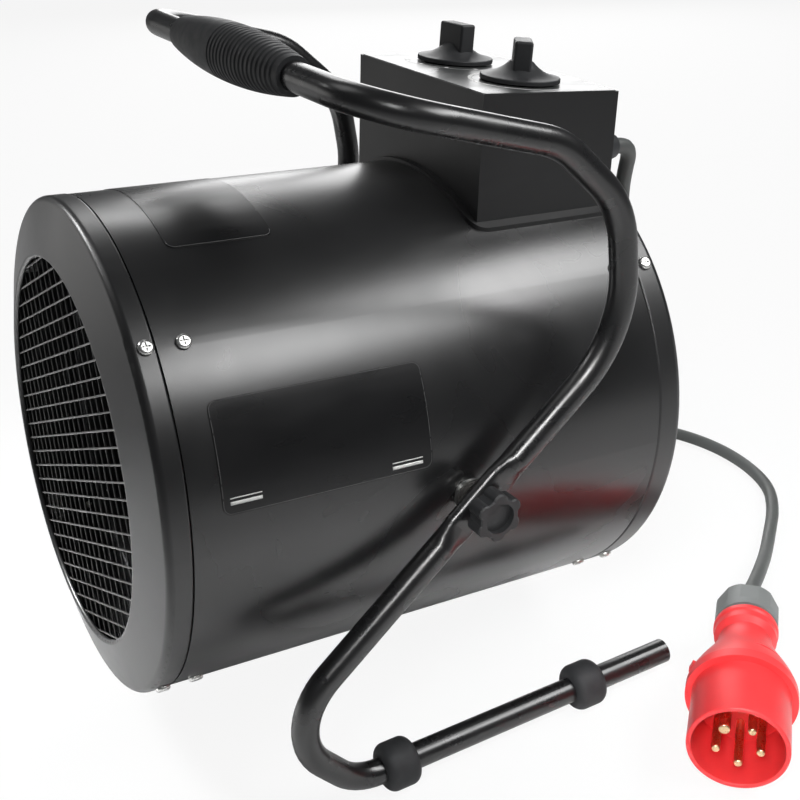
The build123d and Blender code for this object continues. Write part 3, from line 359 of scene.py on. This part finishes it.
def heated_sheath(name):
    """Tubular element: drawn steel with straw and blue heat tints over a dull scale."""
    sheath = Finish(name, Metallic=0.8)
    tint = sheath.ramp(
        sheath.noise(32, 3),
        (0.3, (0.09, 0.085, 0.08)),
        (0.48, (0.16, 0.12, 0.08)),
        (0.6, (0.1, 0.1, 0.13)),
        (0.75, (0.06, 0.06, 0.06)),
    )
    sheath.use(Base_Color=tint, Roughness=sheath.spread(sheath.noise(700, 4), 0.3, 0.7, 0.38, 0.6))
    return sheath.bump(sheath.noise(2200, 3), 0.35, 0.00005).material


def printed(name, colour):
    """Screen-printed ink with a soft edge of wear."""
    ink = Finish(name, Specular_IOR_Level=0.4)
    worn = ink.spread(ink.noise(900, 4), 0.55, 0.8, 0.0, 0.35)
    ink.use(
        Base_Color=ink.mix(worn, colour, scaled(colour, 0.6)),
        Roughness=ink.spread(ink.noise(300, 2), 0.3, 0.7, 0.42, 0.56),
    )
    return ink.material


def label_film(name, colour):
    """Gloss vinyl with a faint ripple."""
    film = Finish(name, Specular_IOR_Level=0.5)
    ripple = film.noise(70, 2, (1.0, 0.3, 1.0))
    film.use(
        Base_Color=film.mix(film.noise(24, 3), colour, scaled(colour, 1.5)),
        Roughness=film.spread(ripple, 0.3, 0.7, 0.26, 0.34),
    )
    return film.bump(ripple, 0.25, 0.00015).material


def backdrop(name, colour, lift):
    """Pale paper that reads as white to the eye but still takes a shadow."""
    paper = Finish(name, Roughness=0.9, Specular_IOR_Level=0.1)
    paper.use(Base_Color=paper.mix(paper.noise(3, 2), colour, scaled(colour, 0.99)))
    rays = paper.tree.nodes.new("ShaderNodeLightPath")
    seen = Signal(paper, rays.outputs["Is Camera Ray"])
    glow = paper.node("ShaderNodeEmission", values={"Color": (1.0, 1.0, 1.0), "Strength": 1.0})
    joined = paper.node(
        "ShaderNodeMixShader", values={0: seen * lift, 1: Signal(paper, paper.shader.outputs[0]), 2: glow}
    )
    paper.tree.links.new(joined.socket, paper.output.inputs["Surface"])
    return paper.material


# ------------------------------------------------------------------ mesh helpers
def finish_nodes(material, *names):
    """Gives CAD nodes a material in place of their plain one."""
    for name in names:
        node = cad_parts[name]
        if not node.data.materials:
            node.data.materials.append(material)
        for slot in node.material_slots:
            slot.material = material


def new_piece(name, mesh, material, body, smooth=True):
    piece = bpy.data.objects.new(name, mesh)
    bpy.context.scene.collection.objects.link(piece)
    mesh.materials.clear()
    mesh.materials.append(material)
    mesh.polygons.foreach_set("use_smooth", [smooth] * len(mesh.polygons))
    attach(piece, body)
    return piece


def mesh_from(name, build):
    """A mesh that build(bm) fills."""
    bm = bmesh.new()
    build(bm)
    mesh = bpy.data.meshes.new(name)
    bmesh.ops.recalc_face_normals(bm, faces=bm.faces)
    bm.to_mesh(mesh)
    bm.free()
    return mesh


def slab(bm, lower, upper):
    """A closed thin strip between two matching grids of points, rows of equal length."""
    grids = []
    for rows in (lower, upper):
        grids.append([[bm.verts.new(point) for point in row] for row in rows])
    low, high = grids
    last_row = len(low) - 1
    last = len(low[0]) - 1
    for i in range(last_row):
        for j in range(last):
            bm.faces.new((low[i][j], low[i + 1][j], low[i + 1][j + 1], low[i][j + 1]))
            bm.faces.new((high[i][j], high[i][j + 1], high[i + 1][j + 1], high[i + 1][j]))
    for i in range(last_row):
        for j in (0, last):
            bm.faces.new((low[i][j], high[i][j], high[i + 1][j], low[i + 1][j]))
    for j in range(last):
        for i in (0, last_row):
            bm.faces.new((low[i][j], low[i][j + 1], high[i][j + 1], high[i][j]))


def on_drum(angle, y, radius):
    """A point round the drum, angle in degrees from +X towards +Z, lengths in mm."""
    turn = math.radians(angle)
    return DRUM @ (Vector((radius * math.cos(turn), y, radius * math.sin(turn))) * MM)


def drum_patch(bm, outline, width, radius, thickness, steps):
    """A raised line on the drum that follows (angle, y) points; a wide line of two points is a bar."""
    for (angle_a, y_a), (angle_b, y_b) in zip(outline, outline[1:]):
        rows = []
        for lift in (0.0, thickness):
            grid = []
            for side in (-0.5, 0.5):
                row = []
                for step in range(steps + 1):
                    share = step / steps
                    along_angle = angle_b - angle_a
                    along_y = y_b - y_a
                    arc = math.radians(along_angle) * radius
                    length = math.hypot(arc, along_y)
                    across_y = side * width * arc / length
                    across_angle = -side * width * along_y / length / radius
                    row.append(on_drum(
                        angle_a + along_angle * share + math.degrees(across_angle),
                        y_a + along_y * share + across_y,
                        radius + lift,
                    ))
                grid.append(row)
            rows.append(grid)
        slab(bm, rows[0], rows[1])


CORNER_STEPS = 6


def rounded_outline(angle_a, angle_b, y_a, y_b, radius, corner, inset):
    """Closed (angle, y) outline of a label with round corners, drawn in by inset, sizes in mm."""
    to_angle = math.degrees(1 / radius)
    angle_a, angle_b = angle_a + inset * to_angle, angle_b - inset * to_angle
    y_a, y_b = y_a + inset, y_b - inset
    corners = [
        (angle_a + corner * to_angle, y_a + corner, 180), (angle_b - corner * to_angle, y_a + corner, 270),
        (angle_b - corner * to_angle, y_b - corner, 0), (angle_a + corner * to_angle, y_b - corner, 90),
    ]
    points = []
    for angle, y, start in corners:
        for step in range(CORNER_STEPS + 1):
            turn = math.radians(start + 90 / CORNER_STEPS * step)
            points.append((angle + corner * to_angle * math.cos(turn), y + corner * math.sin(turn)))
    return points + points[:1]


def on_top(x, y, lift):
    """Place on the control box's sloping top, in mm, x and y in the drum frame."""
    height = BOX_TOP_FRONT + (y - BOX_FRONT) * math.tan(BOX_TOP_SLOPE) + lift
    return DRUM @ Matrix.Translation(Vector((x, y, height)) * MM) @ Matrix.Rotation(BOX_TOP_SLOPE, 4, "X")


def dial_arc(bm, place, ends, radius, widths, thickness, steps):
    """A raised arc on a dial from one angle to another, its width changing steadily, sizes in mm."""
    grids = []
    for height in (0.0, thickness):
        grid = []
        for side in (-0.5, 0.5):
            row = []
            for step in range(steps + 1):
                share = step / steps
                turn = math.radians(ends[0] + (ends[1] - ends[0]) * share)
                reach = radius + side * (widths[0] + (widths[1] - widths[0]) * share)
                point = Vector((reach * math.cos(turn), reach * math.sin(turn), height))
                row.append(place @ (point * MM))
            grid.append(row)
        grids.append(grid)
    slab(bm, grids[0], grids[1])


# ------------------------------------------------------------------ operators
class HEATER_OT_camera(bpy.types.Operator):
    """Set the camera where the heater is seen from its outlet side, above and to its right"""

    bl_idname = "heater.camera"
    bl_label = "Camera"

    def execute(self, context):
        data = bpy.data.cameras.new("camera")
        data.lens = CAMERA_LENS
        data.sensor_width = CAMERA_SENSOR
        camera = bpy.data.objects.new("camera", data)
        right = Vector(CAMERA_RIGHT)
        forward = Vector(CAMERA_FORWARD).normalized()
        up = right.cross(forward).normalized()
        right = forward.cross(up)
        turn = Matrix((right, up, -forward)).transposed().to_4x4()
        camera.matrix_world = Matrix.Translation(CAMERA_PLACE) @ turn
        context.scene.collection.objects.link(camera)
        context.scene.camera = camera
        return {"FINISHED"}


class HEATER_OT_mains_lead(bpy.types.Operator):
    """Make the mains lead from the gland to the plug as one smooth tube"""

    bl_idname = "heater.mains_lead"
    bl_label = "Mains lead"

    def execute(self, context):
        sizes = context.scene.heater_sizes
        line = bpy.data.curves.new("lead_line", "CURVE")
        line.dimensions = "3D"
        line.resolution_u = 10
        spline = line.splines.new("NURBS")
        spline.points.add(len(LEAD_ROUTE) - 1)
        for point, place in zip(spline.points, LEAD_ROUTE):
            point.co = (*(Vector(place) * MM), 1.0)
        spline.order_u = 3
        spline.use_endpoint_u = True
        holder = bpy.data.objects.new("lead_line", line)
        context.scene.collection.objects.link(holder)
        bare = bpy.data.meshes.new_from_object(holder)
        path = [vertex.co.copy() for vertex in bare.vertices]
        line.bevel_depth = sizes.lead_diameter / 2
        line.bevel_resolution = 5
        line.use_fill_caps = True
        context.view_layer.update()
        tube = bpy.data.meshes.new_from_object(holder.evaluated_get(context.evaluated_depsgraph_get()))
        bpy.data.objects.remove(holder)
        length = sum((b - a).length for a, b in zip(path, path[1:]))
        shortest, longest = LEAD_LENGTH_RANGE
        if not shortest < length < longest:
            raise RuntimeError("the lead's route is not about a metre long")
        tube.name = "mains_lead"
        lead = bpy.data.objects.new("mains_lead", tube)
        context.scene.collection.objects.link(lead)
        sheath = moulded("lead_sheath", tuple(context.scene.heater_colours.lead), 0.5, 1800)
        tube.materials.clear()
        tube.materials.append(sheath)
        tube.polygons.foreach_set("use_smooth", [True] * len(tube.polygons))
        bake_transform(lead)
        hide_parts("mains_cord")
        return {"FINISHED"}


class HEATER_OT_drum(bpy.types.Operator):
    """Coat the casing, the end rings and the control box"""

    bl_idname = "heater.drum"
    bl_label = "Drum and box"

    def execute(self, context):
        colour = tuple(context.scene.heater_colours.coat)
        finish_nodes(powder_coat("casing_coat", colour, 0.28, dust=0.12), "outer_casing")
        finish_nodes(powder_coat("ring_coat", scaled(colour, 1.1), 0.33), "front_ring", "rear_ring")
        finish_nodes(powder_coat("box_coat", scaled(colour, 1.1), 0.4, 1900, sheen=0.5), "control_box")
        return {"FINISHED"}


class HEATER_OT_stand(bpy.types.Operator):
    """Paint the tube stand and finish its grip, feet and clamping knobs"""

    bl_idname = "heater.stand"
    bl_label = "Stand"

    def execute(self, context):
        colours = context.scene.heater_colours
        finish_nodes(gloss_paint("tube_paint", tuple(colours.tube_paint), 0.28), "stand_tube")
        finish_nodes(rubber("grip_rubber", tuple(colours.rubber), 0.55), "handle_grip")
        feet = [f"foot_{end}_{side}" for end in ("front", "rear") for side in ("right", "left")]
        finish_nodes(rubber("foot_rubber", tuple(colours.rubber)), *feet)
        knob = moulded("clamp_knob", scaled(tuple(colours.moulding), 0.6), 0.5)
        finish_nodes(knob, "star_knob_right", "star_knob_left")
        return {"FINISHED"}


class HEATER_OT_meshes(bpy.types.Operator):
    """Finish the wire meshes and their clips"""

    bl_idname = "heater.meshes"
    bl_label = "Meshes"

    def execute(self, context):
        wire = gloss_paint("mesh_wire", (0.035, 0.035, 0.034), 0.45)
        finish_nodes(wire, "outlet_mesh", "inlet_mesh")
        finish_nodes(plated("clip_steel", (0.5, 0.5, 0.5), 0.4), "outlet_mesh_clips", "inlet_mesh_clips")
        return {"FINISHED"}


class HEATER_OT_fastenings(bpy.types.Operator):
    """Finish the screws, bolts, washers and plates"""

    bl_idname = "heater.fastenings"
    bl_label = "Fastenings"

    def execute(self, context):
        finish_nodes(
            plated("screw_zinc", (0.78, 0.78, 0.76), 0.3, tarnish=0.05),
            "front_ring_screws", "rear_ring_screws", "casing_front_screws", "casing_rear_screws",
        )
        finish_nodes(
            plated("bolt_zinc", (0.66, 0.66, 0.64), 0.32),
            "pivot_bolts", "pivot_washers", "pivot_bush_right", "pivot_bush_left",
            "pivot_plate_right", "pivot_plate_left", "motor_bolts", "spindle_nuts", "gland_locknut",
        )
        finish_nodes(rubber("friction_fibre", (0.03, 0.028, 0.026), 0.8), "friction_washers")
        return {"FINISHED"}


class HEATER_OT_inside(bpy.types.Operator):
    """Finish what shows through the meshes: duct, elements, fan and motor"""

    bl_idname = "heater.inside"
    bl_label = "Inside"

    def execute(self, context):
        # The duct and strap get a near-black colour instead of pale galvanised grey: painted shade for the
        # dark inside of the drum behind the mesh.
        finish_nodes(galvanised("duct_sheet_painted_shade", (0.07, 0.07, 0.072), 0.5), "inner_duct", "element_strap")
        finish_nodes(
            heated_sheath("element_sheath"),
            "heating_element_inner", "heating_element_middle", "heating_element_outer",
        )
        finish_nodes(plated("fan_sheet", (0.42, 0.42, 0.43), 0.42, (1.0, 0.2, 1.0)), "fan_wheel")
        finish_nodes(
            plated("ground_steel", (0.6, 0.6, 0.6), 0.22),
            "motor_shaft", "selector_spindle", "thermostat_spindle",
        )
        finish_nodes(powder_coat("motor_enamel", (0.03, 0.03, 0.032), 0.45), "fan_motor")
        finish_nodes(plated("bracket_steel", (0.4, 0.4, 0.4), 0.45), "motor_bracket")
        finish_nodes(moulded("switch_moulding", (0.02, 0.02, 0.02), 0.5), "rotary_switch", "terminal_block")
        finish_nodes(
            plated("thermostat_steel", (0.55, 0.55, 0.53), 0.35),
            "thermostat", "thermal_cutout", "thermostat_probe",
        )
        return {"FINISHED"}


class HEATER_OT_controls(bpy.types.Operator):
    """Finish the knobs and the dial plate, and print the dial marks"""

    bl_idname = "heater.controls"
    bl_label = "Controls"

    def execute(self, context):
        colours = context.scene.heater_colours
        sizes = context.scene.heater_sizes
        knob = moulded("knob_moulding", tuple(colours.moulding), 0.48)
        finish_nodes(knob, "selector_knob", "thermostat_knob")
        finish_nodes(label_film("dial_film", (0.06, 0.062, 0.062)), "dial_plate")
        finish_nodes(moulded("gland_moulding", (0.035, 0.037, 0.04), 0.5), "cable_gland")
        ink = printed("white_ink", (0.82, 0.82, 0.8))
        ring = sizes.dial_ring / MM
        lift = DIAL_FACE + INK_GAP
        thick = sizes.print_height / MM

        def thermostat_marks(bm):
            place = on_top(KNOB_X, KNOB_Y, lift)
            dial_arc(bm, place, HEAT_ARC, ring, HEAT_WIDTHS, thick, 40)

        def selector_marks(bm):
            place = on_top(-KNOB_X, KNOB_Y, lift)
            for index in range(SELECTOR_PLACES):
                middle = SELECTOR_FIRST + index * SELECTOR_STEP
                ends = (middle - SELECTOR_MARK_HALF, middle + SELECTOR_MARK_HALF)
                dial_arc(bm, place, ends, ring, SELECTOR_MARK_WIDTHS, thick, 6)
            dial_arc(bm, place, SELECTOR_ARC, ring + SELECTOR_ARC_OUT, SELECTOR_ARC_WIDTHS, thick, 30)

        for name, build in (("thermostat_marks", thermostat_marks), ("selector_marks", selector_marks)):
            new_piece(name, mesh_from(name, build), ink, "heater", smooth=False)
        return {"FINISHED"}


class HEATER_OT_labels(bpy.types.Operator):
    """Finish the two label plates with a fine border and plain bars"""

    bl_idname = "heater.labels"
    bl_label = "Labels"

    def execute(self, context):
        thick = context.scene.heater_sizes.print_height / MM
        face = LABEL_FACE + INK_GAP
        finish_nodes(label_film("label_vinyl", (0.0065, 0.0065, 0.007)), "side_label", "top_label")
        line = printed("border_ink", (0.11, 0.11, 0.11))
        ink = printed("bar_ink", (0.8, 0.8, 0.78))
        for name, (angles, front, rear) in LABELS.items():
            outline = rounded_outline(
                *angles, FRONT_CORNER + front, FRONT_CORNER + rear, face, LABEL_CORNER, BORDER_INSET
            )
            mesh = mesh_from(name, lambda bm: drum_patch(bm, outline, BORDER_WIDTH, face, thick, 6))
            new_piece(name, mesh, line, "heater")

        def bars(bm):
            for start, end, angle in LABEL_BARS:
                y_a, y_b = FRONT_CORNER + start, FRONT_CORNER + end
                for offset, width in BAR_LINES:
                    drum_patch(bm, [(angle + offset, y_a), (angle + offset, y_b)], width, face, thick, 8)

        new_piece("side_label_bars", mesh_from("side_label_bars", bars), ink, "heater")
        return {"FINISHED"}


class HEATER_OT_plug(bpy.types.Operator):
    """Finish the plug"""

    bl_idname = "heater.plug"
    bl_label = "Plug"

    def execute(self, context):
        colour = tuple(context.scene.heater_colours.plug)
        finish_nodes(moulded("plug_moulding", colour, 0.4, 1600), "plug_body")
        finish_nodes(moulded("shroud_moulding", scaled(colour, 0.9), 0.38, 1600), "plug_shroud")
        finish_nodes(moulded("nut_moulding", (0.2, 0.21, 0.208), 0.5), "plug_cap_nut")
        finish_nodes(rubber("plug_seal", (0.014, 0.014, 0.015)), "plug_seal")
        finish_nodes(plated("pin_brass", (0.86, 0.62, 0.36), 0.28), "plug_contact_pins")
        return {"FINISHED"}


class HEATER_OT_stage(bpy.types.Operator):
    """Lay the pale floor and set the soft lights"""

    bl_idname = "heater.stage"
    bl_label = "Stage"

    def execute(self, context):
        scene = context.scene
        scene.view_settings.view_transform = "Standard"

        def sheet(bm):
            bmesh.ops.create_grid(bm, x_segments=2, y_segments=2, size=6.0)

        floor = bpy.data.objects.new("floor", mesh_from("floor", sheet))
        scene.collection.objects.link(floor)
        floor.location = (0, 0, -0.0002)
        floor.data.materials.append(backdrop("floor_paper", (0.9, 0.9, 0.9), 0.9))

        world = bpy.data.worlds.new("surround")
        world.use_nodes = True
        scene.world = world
        nodes, links = world.node_tree.nodes, world.node_tree.links
        room = nodes["Background"]
        room.inputs["Color"].default_value = (*ROOM_COLOUR, 1)
        room.inputs["Strength"].default_value = ROOM_STRENGTH
        white = nodes.new("ShaderNodeBackground")
        white.inputs["Color"].default_value = (1, 1, 1, 1)
        rays = nodes.new("ShaderNodeLightPath")
        either = nodes.new("ShaderNodeMath")
        either.operation = "MAXIMUM"
        links.new(rays.outputs["Is Camera Ray"], either.inputs[0])
        links.new(rays.outputs["Is Transmission Ray"], either.inputs[1])
        joined = nodes.new("ShaderNodeMixShader")
        links.new(either.outputs[0], joined.inputs[0])
        links.new(room.outputs[0], joined.inputs[1])
        links.new(white.outputs[0], joined.inputs[2])
        links.new(joined.outputs[0], nodes["World Output"].inputs["Surface"])

        for name, place, aim, (width, height), power, spread, colour in LAMPS:
            light = bpy.data.lights.new(name, "AREA")
            light.shape = "RECTANGLE"
            light.size = width
            light.size_y = height
            light.energy = power
            light.spread = math.radians(spread)
            light.color = colour
            lamp = bpy.data.objects.new(name, light)
            lamp.location = place
            lamp.rotation_euler = (Vector(aim) - Vector(place)).to_track_quat("-Z", "Y").to_euler()
            scene.collection.objects.link(lamp)
        return {"FINISHED"}


class HEATER_PT_panel(bpy.types.Panel):
    """Sidebar with the heater's sizes, colours and steps"""

    bl_label = "Heater"
    bl_idname = "HEATER_PT_panel"
    bl_space_type = "VIEW_3D"
    bl_region_type = "UI"
    bl_category = "Heater"

    def draw(self, context):
        column = self.layout.column()
        for group in (context.scene.heater_sizes, context.scene.heater_colours):
            for name in group.__annotations__:
                column.prop(group, name)
        for operator in OPERATORS:
            column.operator(operator.bl_idname)


OPERATORS = (
    HEATER_OT_camera,
    HEATER_OT_mains_lead,
    HEATER_OT_drum,
    HEATER_OT_stand,
    HEATER_OT_meshes,
    HEATER_OT_fastenings,
    HEATER_OT_inside,
    HEATER_OT_controls,
    HEATER_OT_labels,
    HEATER_OT_plug,
    HEATER_OT_stage,
)
CLASSES = (HeaterSizes, HeaterColours, *OPERATORS, HEATER_PT_panel)


def register():
    for item in CLASSES:
        bpy.utils.register_class(item)
    bpy.types.Scene.heater_sizes = bpy.props.PointerProperty(type=HeaterSizes)
    bpy.types.Scene.heater_colours = bpy.props.PointerProperty(type=HeaterColours)


def unregister():
    del bpy.types.Scene.heater_colours
    del bpy.types.Scene.heater_sizes
    for item in reversed(CLASSES):
        bpy.utils.unregister_class(item)


def main():
    register()
    bpy.ops.heater.camera()
    bpy.ops.heater.mains_lead()
    bpy.ops.heater.drum()
    bpy.ops.heater.stand()
    bpy.ops.heater.meshes()
    bpy.ops.heater.fastenings()
    bpy.ops.heater.inside()
    bpy.ops.heater.controls()
    bpy.ops.heater.labels()
    bpy.ops.heater.plug()
    bpy.ops.heater.stage()


if __name__ == "__main__":
    main()
